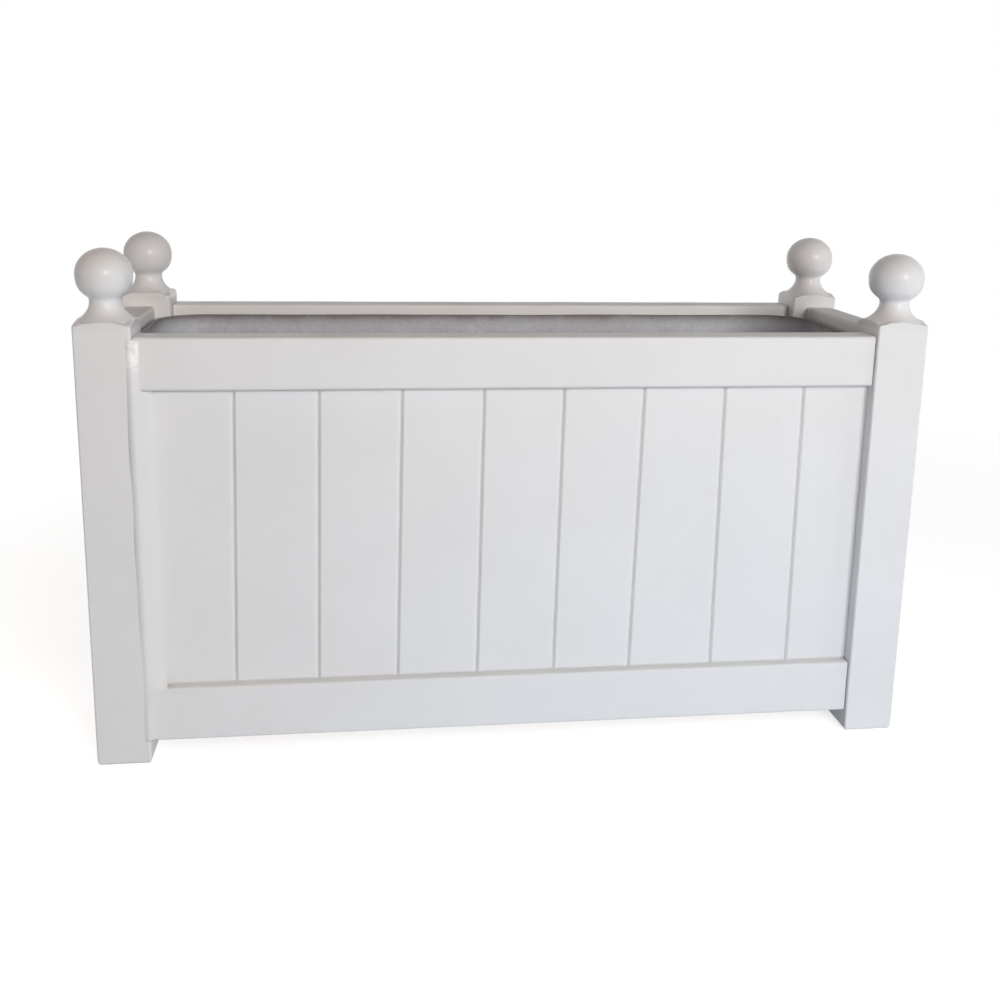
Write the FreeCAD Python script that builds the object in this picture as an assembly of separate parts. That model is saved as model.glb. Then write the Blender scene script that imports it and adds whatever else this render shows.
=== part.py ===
import FreeCAD, Part
import math
import os

from FreeCAD import Vector

# Rectangular box planter, in millimetres. The origin is on the ground below the middle of the
# box, +X runs along the length, -Y is the front and +Z is up.

# Overall plan, between the outer faces of the corner posts
overall_length = 1000.0
overall_depth = 340.0

# Corner posts
post_side = 63.0
post_height = 532.0
post_edge_radius = 2.5
post_end_radius = 1.5

# Ball finials
finial_foot_overhang = 3.0
finial_foot_edge = 2.0
finial_neck_diameter = 35.0
finial_neck_rise = 26.0
finial_ball_diameter = 65.5
finial_ball_rise = 55.2
finial_crown_rise = 29.4
stud_diameter = 8.0
stud_in_post = 35.0
stud_in_finial = 30.0

# Fullness of the finial's curves: the share of a curve's rise over which an end stays upright
shoulder_fullness = 0.29
cove_fullness = 0.67
neck_fullness = 0.24
ball_fullness = 0.8
round_fullness = 4 * (math.sqrt(2) - 1) / 3

# Rails between the posts
rail_thickness = 38.0
rail_setback = 5.0
rail_edge_radius = 2.5
top_rail_height = 62.0
top_rail_drop = 13.0
bottom_rail_height = 67.0
ground_clearance = 28.0
tenon_length = 25.0
tenon_thickness = 14.0
tenon_shoulder = 10.0

# Wall boards, tongued and grooved, standing in grooves of the rails and posts
board_thickness = 14.0
first_board_cover = 106.0
last_board_cover = 84.1
long_wall_board_count = 9
short_wall_board_count = 2
board_edge_radius = 4.0
tongue_length = 6.0
tongue_thickness = 4.5
rail_groove_depth = 10.0
post_groove_depth = 8.0

# Floor inside the frame
bearer_height = 28.0
bearer_width = 28.0
bearer_rise = 12.0
slat_thickness = 18.0
slat_width = 90.0
slat_count = 6
slat_margin = 10.0

# Liner trough
liner_gap = 4.0
liner_post_clearance = 3.0
liner_rim_drop = 12.0
liner_wall = 5.0
liner_floor = 6.0
liner_lean = 10.0
liner_bottom_radius = 18.0
liner_rim_radius = 1.8
drain_diameter = 14.0

# Countersunk screws
screw_diameter = 5.0
screw_head_diameter = 10.0
screw_point_length = 5.0
tenon_screw_bite = 11.0
bearer_screw_bite = 15.0
slat_screw_bite = 20.0
rail_screw_stagger = 8.0

# Fits
joint_clearance = 0.2
end_gap = 1.0
screw_clearance = 0.15
stud_clearance = 0.15
tongue_clearance = 0.25
board_gap = 0.3

# Levels worked out from the sizes above
top_rail_bottom = post_height - top_rail_drop - top_rail_height
top_rail_top = post_height - top_rail_drop
bottom_rail_top = ground_clearance + bottom_rail_height
groove_bottom = bottom_rail_top - rail_groove_depth
groove_top = top_rail_bottom + rail_groove_depth
bearer_bottom = ground_clearance + bearer_rise
bearer_top = bearer_bottom + bearer_height
floor_top = bearer_top + slat_thickness

# Distance from a post's outer face to the middle and to the inner face of the rails beside it
rail_line = rail_setback + rail_thickness / 2
rail_inside = rail_setback + rail_thickness

# Length of each screw: what it passes through, and its bite in the piece behind
rail_screw_length = post_side - rail_line - tenon_thickness / 2 + tenon_screw_bite
bearer_screw_length = bearer_width + bearer_screw_bite
slat_screw_length = slat_thickness + slat_screw_bite

# The walls, each drawn as the front wall and then turned about the upright axis
walls = {
    "front": {"turn": 0, "length": overall_length, "across": overall_depth, "long": True},
    "right": {"turn": 90, "length": overall_depth, "across": overall_length, "long": False},
    "back": {"turn": 180, "length": overall_length, "across": overall_depth, "long": True},
    "left": {"turn": 270, "length": overall_depth, "across": overall_length, "long": False},
}

# The corners, as the signs of X and Y; each is named for the two walls that meet there
corners = {
    "front_left": (-1, -1),
    "front_right": (1, -1),
    "back_right": (1, 1),
    "back_left": (-1, 1),
}

up = Vector(0, 0, 1)
down = Vector(0, 0, -1)
along = Vector(1, 0, 0)
origin = Vector(0, 0, 0)


def block(low, high):
    """Return the box between two corners."""
    size = [b - a for a, b in zip(low, high)]
    return Part.makeBox(size[0], size[1], size[2], Vector(*low))


def edges_along(solid, direction):
    """Return a solid's straight edges that run along a direction."""
    found = []
    for edge in solid.Edges:
        if edge.Curve.TypeId != "Part::GeomLine":
            continue
        if abs(abs(edge.Curve.Direction.dot(direction)) - 1) < 1e-6:
            found.append(edge)
    return found


def edges_at_height(solid, heights):
    """Return a solid's edges that lie flat at one of the heights."""
    found = []
    for edge in solid.Edges:
        box = edge.BoundBox
        flat = box.ZLength < 1e-6
        if flat and any(abs(box.ZMin - height) < 1e-6 for height in heights):
            found.append(edge)
    return found


def turned(shape, wall):
    """Return a copy of a shape, drawn in the front wall's frame, turned to its own wall."""
    copy = shape.copy()
    copy.rotate(origin, up, wall["turn"])
    return copy


def between_posts(wall):
    """Return half the clear length between the two posts of a wall."""
    return wall["length"] / 2 - post_side


def wall_line(wall):
    """Return the Y of the rails' and boards' middle plane, in the front wall's frame."""
    return rail_line - wall["across"] / 2


# Countersunk screws

def screw(length, clearance):
    """Return a screw that points down from its head's face, or its hole with a clearance."""
    shank = screw_diameter / 2 + clearance
    head = screw_head_diameter / 2 + clearance
    points = [
        Vector(0, 0, clearance),
        Vector(head, 0, clearance),
        Vector(shank, 0, clearance + shank - head),
        Vector(shank, 0, screw_point_length - length),
        Vector(0, 0, -length - clearance),
    ]
    outline = Part.Face(Part.makePolygon(points + points[:1]))
    return outline.revolve(origin, up, 360)


def driven(places, length, clearance=0.0):
    """Return screws, or their holes, with their heads at points and driven along directions."""
    solids = []
    for point, direction in places:
        solid = screw(length, clearance)
        solid.Placement = FreeCAD.Placement(point, FreeCAD.Rotation(down, direction))
        solids.append(solid)
    return solids


# Rails with their tenons, and the slots that they need in the posts

rail_levels = {
    "top": (top_rail_bottom, top_rail_top),
    "bottom": (ground_clearance, bottom_rail_top),
}
tenon_levels = {
    "top": (groove_top, top_rail_top - tenon_shoulder),
    "bottom": (ground_clearance + tenon_shoulder, groove_bottom),
}


def tenon_bar(wall, level, clearance=0.0, reach=0.0):
    """Return the bar whose ends are both tenons of a rail, or their mortises with a clearance."""
    half_length = between_posts(wall) + tenon_length + reach
    half_thickness = tenon_thickness / 2 + clearance
    low, high = tenon_levels[level]
    return block(
        (-half_length, wall_line(wall) - half_thickness, low - clearance),
        (half_length, wall_line(wall) + half_thickness, high + clearance),
    )


def panel_slot(wall):
    """Return the slot round a wall's boards, cut in its rails and posts."""
    half_length = between_posts(wall) + post_groove_depth
    half_thickness = board_thickness / 2 + joint_clearance
    return block(
        (-half_length, wall_line(wall) - half_thickness, groove_bottom),
        (half_length, wall_line(wall) + half_thickness, groove_top),
    )


def rail_screw_places(wall):
    """Return where the screws through a wall's tenons start, on the posts' inner faces."""
    places = []
    post_inner_face = post_side - wall["across"] / 2
    from_middle = between_posts(wall) + tenon_length / 2
    for low, high in tenon_levels.values():
        middle = (low + high) / 2
        for end in (-1, 1):
            point = Vector(end * from_middle, post_inner_face, middle - end * rail_screw_stagger)
            places.append((point, Vector(0, -1, 0)))
    return places


def bearer_screw_places(wall):
    """Return where the screws through a wall's floor bearer start, midway between slats."""
    face = rail_inside + bearer_width - wall["across"] / 2
    height = (bearer_bottom + bearer_top) / 2
    return [(Vector(x, face, height), Vector(0, -1, 0)) for x in slat_gap_middles()]


def rail(wall, level, holes):
    """Return one rail with its two tenons, slotted for the boards and bored for its screws."""
    low, high = rail_levels[level]
    half_length = between_posts(wall)
    bar = block(
        (-half_length, wall_line(wall) - rail_thickness / 2, low),
        (half_length, wall_line(wall) + rail_thickness / 2, high),
    )
    bar = bar.makeFillet(rail_edge_radius, edges_along(bar, along))
    bar = bar.fuse(tenon_bar(wall, level)).removeSplitter()
    return bar.cut([panel_slot(wall)] + holes)


# Boards of one wall, each with a groove in its left edge and a tongue on its right edge

def even_steps(start, end, count):
    """Return the places that part a stretch into equal steps, with both ends."""
    return [start + (end - start) * i / count for i in range(count + 1)]


def board_joints(wall):
    """Return the places along a wall where its boards meet, with the two posts as ends."""
    half = between_posts(wall)
    if not wall["long"]:
        return even_steps(-half, half, short_wall_board_count)
    inner = even_steps(first_board_cover - half, half - last_board_cover, long_wall_board_count - 2)
    return [-half] + inner + [half]


def board(wall, left, right, grooved, tongued):
    """Return one board that covers a wall from left to right."""
    in_post = post_groove_depth - end_gap
    left_edge = left + board_gap / 2 if grooved else left - in_post
    right_edge = right - board_gap / 2 if tongued else right + in_post
    front = wall_line(wall) - board_thickness / 2
    back = wall_line(wall) + board_thickness / 2
    top = groove_top - end_gap
    plank = block((left_edge, front, groove_bottom), (right_edge, back, top))
    rounded = []
    for edge in edges_along(plank, up):
        middle = edge.CenterOfMass
        at_front = middle.y < wall_line(wall)
        at_joint = tongued if middle.x > (left_edge + right_edge) / 2 else grooved
        if at_front and at_joint:
            rounded.append(edge)
    if rounded:
        plank = plank.makeFillet(board_edge_radius, rounded)
    if tongued:
        half = tongue_thickness / 2
        tongue = block(
            (right_edge - tongue_length, wall_line(wall) - half, groove_bottom),
            (right_edge + tongue_length, wall_line(wall) + half, top),
        )
        plank = plank.fuse(tongue).removeSplitter()
    if grooved:
        half = tongue_thickness / 2 + tongue_clearance
        groove = block(
            (left_edge - tongue_length, wall_line(wall) - half, groove_bottom),
            (left_edge + tongue_length + tongue_clearance, wall_line(wall) + half, top),
        )
        plank = plank.cut(groove)
    return plank


# Posts

def post(corner, cuts):
    """Return one corner post with rounded edges, slotted and bored by the cuts."""
    sign_x, sign_y = corners[corner]
    x_faces = sorted((sign_x * overall_length / 2, sign_x * (overall_length / 2 - post_side)))
    y_faces = sorted((sign_y * overall_depth / 2, sign_y * (overall_depth / 2 - post_side)))
    shaft = block((x_faces[0], y_faces[0], 0), (x_faces[1], y_faces[1], post_height))
    shaft = shaft.makeFillet(post_edge_radius, edges_along(shaft, up))
    shaft = shaft.makeFillet(post_end_radius, edges_at_height(shaft, (0, post_height)))
    hole = stud(corner, stud_clearance)
    return shaft.cut(cuts + [hole])


def post_axis(corner):
    """Return the X and Y of a post's middle."""
    sign_x, sign_y = corners[corner]
    return (
        sign_x * (overall_length - post_side) / 2,
        sign_y * (overall_depth - post_side) / 2,
    )


# Finials and their studs

def stud(corner, clearance=0.0):
    """Return the stud between a post and its finial, or its hole with a clearance."""
    x, y = post_axis(corner)
    length = stud_in_post + stud_in_finial + 2 * clearance
    foot = Vector(x, y, post_height - stud_in_post - clearance)
    return Part.makeCylinder(stud_diameter / 2 + clearance, length, foot)


def upright_curve(start, end, start_fullness, end_fullness):
    """Return a curve in the XZ plane that is upright at both ends, fuller for a larger share."""
    rise = end.z - start.z
    curve = Part.BezierCurve()
    curve.setPoles([start, start + up * rise * start_fullness, end - up * rise * end_fullness, end])
    return curve.toShape()


def finial_outline():
    """Return the half section of a finial, from its axis out, standing on the ground plane."""
    foot = Vector(post_side / 2 + finial_foot_overhang, 0, 0)
    foot_top = foot + up * finial_foot_edge
    neck = Vector(finial_neck_diameter / 2, 0, finial_neck_rise)
    ball = Vector(finial_ball_diameter / 2, 0, finial_ball_rise)
    top = Vector(0, 0, finial_ball_rise + finial_crown_rise)
    crown = Part.BezierCurve()
    crown.setPoles([
        ball,
        ball + up * finial_crown_rise * round_fullness,
        top + along * ball.x * round_fullness,
        top,
    ])
    edges = [
        Part.makeLine(origin, foot),
        Part.makeLine(foot, foot_top),
        upright_curve(foot_top, neck, shoulder_fullness, cove_fullness),
        upright_curve(neck, ball, neck_fullness, ball_fullness),
        crown.toShape(),
        Part.makeLine(top, origin),
    ]
    return Part.Face(Part.Wire(edges))


def finial(corner):
    """Return one finial on its post, its round foot trimmed flush with the post's faces."""
    x, y = post_axis(corner)
    turning = finial_outline().revolve(origin, up, 360)
    half = post_side / 2
    room = post_side
    foot_square = block((-half, -half, 0), (half, half, finial_neck_rise))
    foot_room = block((-room, -room, 0), (room, room, finial_neck_rise))
    turning = turning.cut(foot_room.cut(foot_square))
    turning.translate(Vector(x, y, post_height))
    return turning.cut(stud(corner, stud_clearance))


# Floor

def slat_middles():
    """Return the X of each floor slat's middle, spaced evenly between the posts."""
    reach = between_posts(walls["front"]) - slat_margin - slat_width / 2
    step = 2 * reach / (slat_count - 1)
    return [-reach + step * i for i in range(slat_count)]


def slat_gap_middles():
    """Return the X of the middle of each gap between two floor slats."""
    middles = slat_middles()
    return [(a + b) / 2 for a, b in zip(middles, middles[1:])]


def bearer(wall, holes):
    """Return the floor bearer that is screwed along the inside of a bottom rail."""
    half_length = between_posts(wall) - end_gap
    face = rail_inside - wall["across"] / 2
    bar = block(
        (-half_length, face, bearer_bottom),
        (half_length, face + bearer_width, bearer_top),
    )
    return bar.cut(holes)


def slat_screw_places(x):
    """Return where the two screws of the floor slat at X start, above the bearers' middles."""
    y = overall_depth / 2 - rail_inside - bearer_width / 2
    return [(Vector(x, side * y, floor_top), down) for side in (-1, 1)]


def slat(x, holes):
    """Return the floor slat at X, lying across both bearers."""
    half_length = overall_depth / 2 - rail_inside - end_gap
    strip = block(
        (x - slat_width / 2, -half_length, bearer_top),
        (x + slat_width / 2, half_length, floor_top),
    )
    return strip.cut(holes)


# Liner

def rounded_rectangle(length, depth, radius, z):
    """Return a rectangular wire with round corners, level at z."""
    x = length / 2
    y = depth / 2
    bow = radius * (1 - math.sqrt(0.5))
    edges = []
    for turn in range(4):
        side, end = (y, x) if turn % 2 == 0 else (x, y)
        line = Part.makeLine(
            Vector(radius - end, -side, z), Vector(end - radius, -side, z)
        )
        arc = Part.Arc(
            Vector(end - radius, -side, z),
            Vector(end - bow, bow - side, z),
            Vector(end, radius - side, z),
        ).toShape()
        for edge in (line, arc):
            edge.rotate(origin, up, 90 * turn)
            edges.append(edge)
    return Part.Wire(edges)


def liner():
    """Return the trough, which leans inwards to its floor and clears the posts' inner corners."""
    inset = rail_inside + liner_gap
    length = overall_length - 2 * inset
    depth = overall_depth - 2 * inset
    post_reach = post_side - inset
    diagonal = math.sqrt(2)
    corner = (liner_post_clearance + diagonal * post_reach) / (diagonal - 1)
    rim = top_rail_top - liner_rim_drop

    def tub(inward, bottom, bottom_radius):
        low = inward + liner_lean
        solid = Part.makeLoft([
            rounded_rectangle(length - 2 * low, depth - 2 * low, corner - low, bottom),
            rounded_rectangle(length - 2 * inward, depth - 2 * inward, corner - inward, rim),
        ], True, True)
        return solid.makeFillet(bottom_radius, edges_at_height(solid, (bottom,)))

    outside = tub(0, floor_top, liner_bottom_radius)
    inside = tub(liner_wall, floor_top + liner_floor, liner_bottom_radius - liner_wall)
    trough = outside.cut(inside)
    trough = trough.makeFillet(liner_rim_radius, edges_at_height(trough, (rim,)))
    drain_start = floor_top - liner_floor / 2
    drains = [
        Part.makeCylinder(drain_diameter / 2, 2 * liner_floor, Vector(x, 0, drain_start))
        for x in slat_gap_middles()
    ]
    return trough.cut(drains)


# Assembly

pieces = {}
rail_screws = []
bearer_screws = []
slat_screws = []
post_cuts = {}

for name, wall in walls.items():
    holes = driven(rail_screw_places(wall), rail_screw_length, screw_clearance)
    bearer_holes = []
    if wall["long"]:
        places = bearer_screw_places(wall)
        bearer_holes = driven(places, bearer_screw_length, screw_clearance)
        bearer_screws += [turned(s, wall) for s in driven(places, bearer_screw_length)]
    for level in rail_levels:
        pieces[f"{level}_rail_{name}"] = turned(rail(wall, level, holes + bearer_holes), wall)
    joints = board_joints(wall)
    last = len(joints) - 1
    for number, (left, right) in enumerate(zip(joints, joints[1:]), start=1):
        plank = board(wall, left, right, grooved=number > 1, tongued=number < last)
        pieces[f"{name}_board_{number}"] = turned(plank, wall)
    if wall["long"]:
        slat_holes = []
        for x in slat_middles():
            slat_holes += driven(slat_screw_places(x), slat_screw_length, screw_clearance)
        pieces[f"floor_bearer_{name}"] = turned(bearer(wall, bearer_holes + slat_holes), wall)
    rail_screws += [turned(s, wall) for s in driven(rail_screw_places(wall), rail_screw_length)]
    mortises = [tenon_bar(wall, level, joint_clearance, end_gap) for level in rail_levels]
    post_cuts[name] = [turned(cut, wall) for cut in mortises + [panel_slot(wall)] + holes]

for corner in corners:
    cuts = [cut for name in corner.split("_") for cut in post_cuts[name]]
    pieces[f"post_{corner}"] = post(corner, cuts)
    pieces[f"finial_{corner}"] = finial(corner)

for number, x in enumerate(slat_middles(), start=1):
    places = slat_screw_places(x)
    pieces[f"floor_slat_{number}"] = slat(x, driven(places, slat_screw_length, screw_clearance))
    slat_screws += driven(places, slat_screw_length)

pieces["liner"] = liner()
pieces["finial_studs"] = Part.makeCompound([stud(corner) for corner in corners])
pieces["rail_screws"] = Part.makeCompound(rail_screws)
pieces["bearer_screws"] = Part.makeCompound(bearer_screws)
pieces["slat_screws"] = Part.makeCompound(slat_screws)

os.makedirs("parts", exist_ok=True)
for name, shape in pieces.items():
    shape.exportStep(f"parts/{name}.step")
    volume = shape.Volume / 1000
    print(f"{name}: {len(shape.Solids)} solid(s), {volume:.1f} cm3, valid {shape.isValid()}")
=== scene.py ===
import math

import bmesh
import bpy
from mathutils import Matrix, Vector, noise


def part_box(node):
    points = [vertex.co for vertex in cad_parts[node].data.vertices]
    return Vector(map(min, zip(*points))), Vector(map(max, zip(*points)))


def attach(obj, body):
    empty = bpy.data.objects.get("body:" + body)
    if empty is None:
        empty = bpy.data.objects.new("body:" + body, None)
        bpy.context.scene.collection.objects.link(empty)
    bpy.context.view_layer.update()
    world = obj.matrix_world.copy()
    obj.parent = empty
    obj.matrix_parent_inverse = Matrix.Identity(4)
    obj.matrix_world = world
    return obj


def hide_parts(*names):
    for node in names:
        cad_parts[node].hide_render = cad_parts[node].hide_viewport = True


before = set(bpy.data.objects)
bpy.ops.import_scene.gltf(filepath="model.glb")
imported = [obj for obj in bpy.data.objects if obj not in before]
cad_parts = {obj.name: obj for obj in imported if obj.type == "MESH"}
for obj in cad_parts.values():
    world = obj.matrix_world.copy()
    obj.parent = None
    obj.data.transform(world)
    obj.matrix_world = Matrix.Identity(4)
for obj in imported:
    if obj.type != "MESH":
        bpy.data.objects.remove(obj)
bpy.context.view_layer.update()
bpy.context.scene.view_settings.view_transform = "Standard"


# Corner posts
# Four square bars stand on the ground and carry the box. Their long edges are eased by hand with
# sandpaper, and they get the same satin white paint, brushed upright, as the rest of the frame.

corners = ("front_left", "front_right", "back_right", "back_left")
post_edge = 0.0024
post_ends = (0.0065, 0.0010)
post_wave = 0.00022
wave_fade = 0.04
wave_scale = 14
hold = 0.0005
least_edge = 0.0004
edge_draw = 0.6


def rounded_ring(half_u, half_v, radius, steps):
    """Return the points of a rectangle with round corners, anticlockwise about the origin."""
    points = []
    centres = ((1, 1, 0), (-1, 1, 90), (-1, -1, 180), (1, -1, 270))
    for sign_u, sign_v, start in centres:
        middle = Vector((sign_u * (half_u - radius), sign_v * (half_v - radius)))
        arc = []
        for step in range(steps + 1):
            angle = math.radians(start + 90 * step / steps)
            arc.append(middle + radius * Vector((math.cos(angle), math.sin(angle))))
        before = Vector((math.sin(math.radians(start)), -math.cos(math.radians(start))))
        after = Vector((-math.sin(math.radians(start + 90)), math.cos(math.radians(start + 90))))
        points += [arc[0] + hold * before] + arc + [arc[-1] + hold * after]
    return points


def end_stations(end, steps):
    """Return the places along a bar's rounded end, and how far its sides draw in at each."""
    angles = [math.radians(90 * step / steps) for step in range(steps + 1)]
    stations = [(end * (1 - math.cos(angle)), end * (1 - math.sin(angle))) for angle in angles]
    return stations + [(end + hold, 0.0)]


def bridge_rings(shape, rings):
    """Join each ring of vertices to the next with faces, and return the faces."""
    faces = []
    for ring, following in zip(rings, rings[1:]):
        for i in range(len(ring)):
            j = (i + 1) % len(ring)
            faces.append(shape.faces.new((ring[i], ring[j], following[j], following[i])))
    return faces


def made_piece(name, shape):
    """Turn a finished shape into an object in the scene, and return it."""
    mesh = bpy.data.meshes.new(name)
    shape.to_mesh(mesh)
    shape.free()
    piece = bpy.data.objects.new(name, mesh)
    bpy.context.scene.collection.objects.link(piece)
    return piece


def soft_bar(name, low, high, along, edge, ends, wave, pitch=0.03, steps=6):
    """Return a bar with eased edges and ends, a little uneven along its length."""
    across = ((along + 1) % 3, (along + 2) % 3)
    middle = (low + high) / 2
    half = [(high[axis] - low[axis]) / 2 for axis in across]
    near, far = (end_stations(end, steps) for end in ends)
    length = high[along] - low[along]
    start = near[-1][0]
    run = length - start - far[-1][0]
    count = max(2, round(run / pitch))
    stations = near + [(start + run * i / count, 0.0) for i in range(1, count)]
    stations += [(length - place, inset) for place, inset in reversed(far)]
    bar = bmesh.new()
    rings = []
    for place, inset in stations:
        ring = []
        radius = max(edge - inset * edge_draw, least_edge)
        for u, v in rounded_ring(half[0] - inset, half[1] - inset, radius, steps):
            point = Vector((0, 0, 0))
            point[along] = low[along] + place
            outward = Vector((0, 0, 0))
            outward[across[0]] = u
            outward[across[1]] = v
            point[across[0]] = middle[across[0]] + u
            point[across[1]] = middle[across[1]] + v
            if inset == 0:
                fade = min(1.0, place / wave_fade, (length - place) / wave_fade)
                point += outward.normalized() * wave * fade * noise.noise(point * wave_scale)
            ring.append(bar.verts.new(point))
        rings.append(ring)
    bridge_rings(bar, rings)
    bar.faces.new(list(reversed(rings[0])))
    bar.faces.new(rings[-1])
    for face in bar.faces:
        face.smooth = True
    return made_piece(name, bar)


def add_node(tree, kind, inputs=None, **settings):
    """Add a node with its settings, and set or link its inputs."""
    made = tree.nodes.new(kind)
    for key, value in settings.items():
        setattr(made, key, value)
    for key, value in (inputs or {}).items():
        if isinstance(value, bpy.types.NodeSocket):
            tree.links.new(value, made.inputs[key])
        else:
            made.inputs[key].default_value = value
    return made


def output_of(tree, kind, inputs=None, **settings):
    """Add a node and return its first output."""
    return add_node(tree, kind, inputs, **settings).outputs[0]


def calc(tree, operation, *values):
    """Add a Math node and return its result."""
    return output_of(tree, "ShaderNodeMath", dict(enumerate(values)), operation=operation)


def blend_colours(tree, share, first, second):
    """Add a colour mix from first, at share 0, to second, at share 1, and return its result."""
    inputs = {0: share, 6: first, 7: second}
    return add_node(tree, "ShaderNodeMix", inputs, data_type="RGBA").outputs[2]


def spread(tree, value, low, high):
    """Stretch a noise value, which stays near the middle, to run from 0 at low to 1 at high."""
    inputs = {"Value": value, "From Min": low, "From Max": high}
    return add_node(tree, "ShaderNodeMapRange", inputs).outputs["Result"]


def cloudy(tree, place, scale, detail=3.0, roughness=0.5):
    """Add a noise texture and return its value."""
    inputs = {"Vector": place, "Scale": scale, "Detail": detail, "Roughness": roughness}
    return output_of(tree, "ShaderNodeTexNoise", inputs)


def new_finish(name):
    """Return a new material, its tree, its shader and the object's own coordinates."""
    material = bpy.data.materials.new(name)
    material.use_nodes = True
    tree = material.node_tree
    place = add_node(tree, "ShaderNodeTexCoord").outputs["Object"]
    return material, tree, tree.nodes["Principled BSDF"], place


def dress_shader(tree, shader, colour, roughness, height, strength, relief):
    """Give a shader its colour and roughness, and a bump from a height."""
    bump = {"Strength": strength, "Distance": relief, "Height": height}
    tree.links.new(colour, shader.inputs["Base Color"])
    tree.links.new(roughness, shader.inputs["Roughness"])
    tree.links.new(output_of(tree, "ShaderNodeBump", bump), shader.inputs["Normal"])


paint_tones = ((0.800, 0.800, 0.798, 1), (0.765, 0.754, 0.740, 1), (0.772, 0.785, 0.802, 1))
# The dark tone below is mixed in for dirt, specks and the greyer filler, and as painted shade in
# creases and under the top rails.
paint_grime_and_shade = (0.330, 0.290, 0.255, 1)
# A paler tone, whitened in specks near the top of the filler: a painted highlight.
paint_highlight = (0.945, 0.925, 0.900, 1)
thin_share = 0.55
cool_share = 0.45
# How strongly the marked creases darken: dirt and painted shade.
grime_and_shade_share = 0.35
speck_tone = 0.6
speck_scale = 46.0
speck_radius = 0.022
speck_share = 0.015
patch_scale = 7.0
cool_scale = 3.1
# Size of the specks of the painted highlight.
highlight_scale = 180.0
stroke_scale = 260.0
peel_scale = 420.0
swell_scale = 34.0
patch_gloss = 0.22
stroke_gloss = 0.13
stroke_height = 0.5
peel_height = 0.4
swell_height = 2.5
paint_relief = 0.0004


def satin_white(name, brushed, sheen, unevenness, mirror=0.5, aged=0.0):
    """Return the white paint with its roughness and bump, brushed along its smallest share's axis."""
    full, thin, cool = paint_tones
    material, tree, shader, place = new_finish(name)
    stroke = output_of(tree, "ShaderNodeMapping", {"Vector": place, "Scale": brushed})
    patches = spread(tree, cloudy(tree, place, patch_scale, 4.0, 0.6), 0.36, 0.68)
    cool_patches = spread(tree, cloudy(tree, place, cool_scale, 2.0), 0.42, 0.66)
    strokes = cloudy(tree, stroke, stroke_scale, 3.0, 0.6)
    peel = cloudy(tree, place, peel_scale, 2.0)
    specks = add_node(
        tree, "ShaderNodeTexVoronoi", {"Vector": place, "Scale": speck_scale, "Randomness": 1.0}
    )
    speck = calc(tree, "LESS_THAN", specks.outputs["Distance"], speck_radius)
    drawn = output_of(tree, "ShaderNodeSeparateColor", {"Color": specks.outputs["Color"]})
    speck = calc(tree, "MULTIPLY", speck, calc(tree, "GREATER_THAN", drawn, 1 - speck_share))
    # The crease mark darkens the paint: dirt and painted shade in the board grooves, painted shade
    # under the top rails.
    crease_and_shade = add_node(tree, "ShaderNodeAttribute", attribute_name="crease_and_shade").outputs["Fac"]
    dirt_and_shade = calc(tree, "MULTIPLY", crease_and_shade, calc(tree, "MULTIPLY_ADD", strokes, 0.5, 0.25))
    colour = blend_colours(tree, calc(tree, "MULTIPLY", patches, thin_share), full, thin)
    colour = blend_colours(tree, calc(tree, "MULTIPLY", cool_patches, cool_share), colour, cool)
    colour = blend_colours(tree, calc(tree, "MULTIPLY", dirt_and_shade, grime_and_shade_share), colour, paint_grime_and_shade)
    colour = blend_colours(tree, calc(tree, "MULTIPLY", speck, speck_tone), colour, paint_grime_and_shade)
    colour = blend_colours(tree, aged, colour, paint_grime_and_shade)
    # The fresh mark whitens the paint in specks: a painted highlight.
    painted_highlight = add_node(tree, "ShaderNodeAttribute", attribute_name="painted_highlight").outputs["Fac"]
    painted_highlight = calc(tree, "MULTIPLY", painted_highlight, spread(tree, cloudy(tree, place, highlight_scale), 0.30, 0.52))
    colour = blend_colours(tree, painted_highlight, colour, paint_highlight)
    gloss = calc(tree, "MULTIPLY_ADD", patches, patch_gloss * sheen, sheen)
    gloss = calc(tree, "MULTIPLY_ADD", strokes, stroke_gloss * sheen, gloss)
    swell = cloudy(tree, place, swell_scale, 2.0)
    height = calc(tree, "MULTIPLY", strokes, stroke_height)
    height = calc(tree, "MULTIPLY_ADD", peel, peel_height, height)
    height = calc(tree, "MULTIPLY_ADD", swell, swell_height, height)
    dress_shader(tree, shader, colour, gloss, height, unevenness, paint_relief)
    shader.inputs["Specular IOR Level"].default_value = mirror
    return material


flat_sheen = 0.46
flat_unevenness = 0.35
upright_paint = satin_white("satin_white_upright", (1.0, 1.0, 0.06), flat_sheen, flat_unevenness)


def painted(piece, material, nodes):
    """Give a piece its paint, fix it to the frame and let it stand for its solids."""
    piece.data.materials.append(material)
    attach(piece, "frame")
    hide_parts(*nodes)


for corner in corners:
    low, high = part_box(f"post_{corner}")
    post = soft_bar(f"painted_post_{corner}", low, high, 2, post_edge, post_ends, post_wave)
    painted(post, upright_paint, [f"post_{corner}"])


# Rails
# Eight plain bars run between the posts, at the top and the bottom of each wall. They are tenoned
# into the posts; each stops a hair short of the post, and paint leaves a fine dark line there.

walls = ("front", "right", "back", "left")
rail_edge = {"top": 0.0038, "bottom": 0.0032}
rail_end = 0.0010
rail_gap = 0.0007
rail_wave = 0.00030
# Painted shade along the top rails' lower edges: how high it reaches and how strong it is.
foot_shade_height = 0.0042
foot_shade = 2.6
inner_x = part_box("post_front_right")[0].x
inner_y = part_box("post_back_right")[0].y
lengthwise_paint = satin_white(
    "satin_white_lengthwise", (0.06, 1.0, 1.0), flat_sheen, flat_unevenness
)
crosswise_paint = satin_white(
    "satin_white_crosswise", (1.0, 0.06, 1.0), flat_sheen, flat_unevenness
)


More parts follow.
